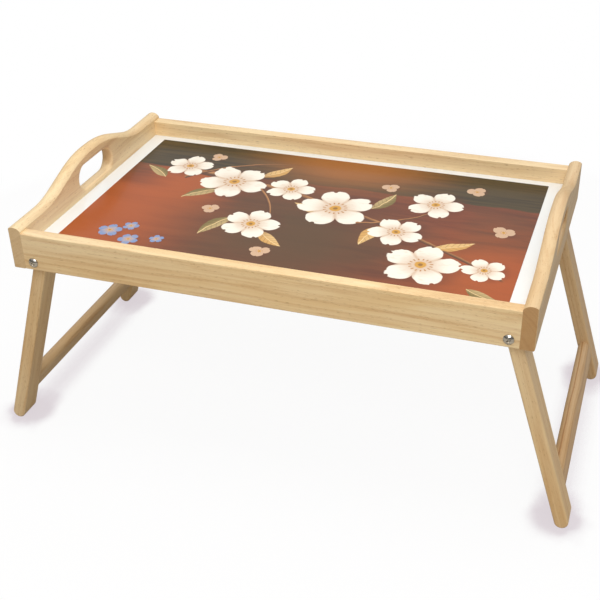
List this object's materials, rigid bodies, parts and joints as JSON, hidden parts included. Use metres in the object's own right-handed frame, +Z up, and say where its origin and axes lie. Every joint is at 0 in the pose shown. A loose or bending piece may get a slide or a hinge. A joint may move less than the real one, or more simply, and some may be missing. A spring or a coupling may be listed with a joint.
{
  "type": "bed tray table",
  "caption": "Low wooden serving tray for a bed, with raised end boards slotted as handles, a white floor with a printed card, and leg frames that fold flat beneath the tray.",
  "frame": {"origin": "on the floor, under the middle of the tray, with both leg frames unfolded", "axes": "+X along the tray to its right-hand end board, -Y the front, +Z up"},
  "size_m": [0.596, 0.3096, 0.2676],
  "materials": {
    "tray_wood": "clear satin lacquer on pale rubberwood",
    "legs": "clear satin lacquer on pale rubberwood",
    "dowels": "bare beech, glued in",
    "floor_panel": "thin hardboard with a smooth white face",
    "printed_card": "coated card with a glossy brown and russet print",
    "screws": "bright nickel plate",
    "washers": "zinc plated"
  },
  "bodies": {
    "tray": {"back_left_corner_dowel": "dowels", "back_rail": "tray_wood", "back_right_corner_dowel": "dowels", "floor_panel": "floor_panel", "front_left_corner_dowel": "dowels", "front_rail": "tray_wood", "front_right_corner_dowel": "dowels", "left_end_board": "tray_wood", "printed_card": "printed_card", "right_end_board": "tray_wood"},
    "left_leg_frame": {"back_left_leg": "legs", "back_left_lower_stretcher_dowel": "dowels", "back_left_pivot_screw": "screws", "back_left_upper_stretcher_dowel": "dowels", "back_left_washer": "washers", "front_left_leg": "legs", "front_left_lower_stretcher_dowel": "dowels", "front_left_pivot_screw": "screws", "front_left_upper_stretcher_dowel": "dowels", "front_left_washer": "washers", "left_stretcher": "legs"},
    "right_leg_frame": {"back_right_leg": "legs", "back_right_lower_stretcher_dowel": "dowels", "back_right_pivot_screw": "screws", "back_right_upper_stretcher_dowel": "dowels", "back_right_washer": "washers", "front_right_leg": "legs", "front_right_lower_stretcher_dowel": "dowels", "front_right_pivot_screw": "screws", "front_right_upper_stretcher_dowel": "dowels", "front_right_washer": "washers", "right_stretcher": "legs"}
  },
  "joints": [
    {"name": "left_leg_fold", "type": "hinge", "parent": "tray", "child": "left_leg_frame", "pos_m": [-0.22788, 0, 0.21035], "axis": [0, -1, 0], "range_deg": [0, 107.3]},
    {"name": "right_leg_fold", "type": "hinge", "parent": "tray", "child": "right_leg_frame", "pos_m": [0.22788, 0, 0.21035], "axis": [0, 1, 0], "range_deg": [0, 107.3]}
  ]
}
